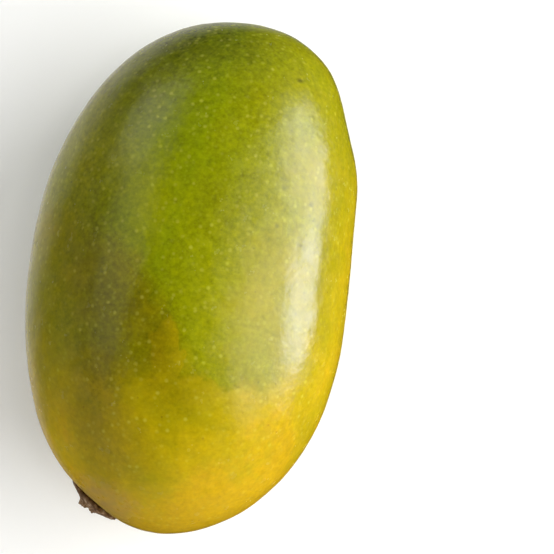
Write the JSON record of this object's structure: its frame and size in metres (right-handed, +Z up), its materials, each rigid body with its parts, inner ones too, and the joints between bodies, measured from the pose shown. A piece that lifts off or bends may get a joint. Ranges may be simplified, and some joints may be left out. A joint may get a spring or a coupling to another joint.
{
  "type": "mango",
  "caption": "Whole ripening mango lying on one cheek: a kidney-shaped fruit with a blunt beak, green turning yellow, and the broken stub of its woody stalk at one end.",
  "frame": {"origin": "on the resting plane, below the middle of the fruit's box", "axes": "+Z up from the resting plane through the two cheeks, +Y from the stalk end to the apex, +X towards the beak side"},
  "size_m": [0.076, 0.122, 0.0665],
  "materials": {
    "mango_skin": "waxy semi-gloss fruit skin, olive green turning yellow towards the beak and the stalk end, with fine pale pores",
    "stalk_wood": "dry dark brown bark with a ragged broken end"
  },
  "bodies": {
    "root": {"fruit": "mango_skin", "stalk_stub": "stalk_wood"}
  },
  "joints": []
}
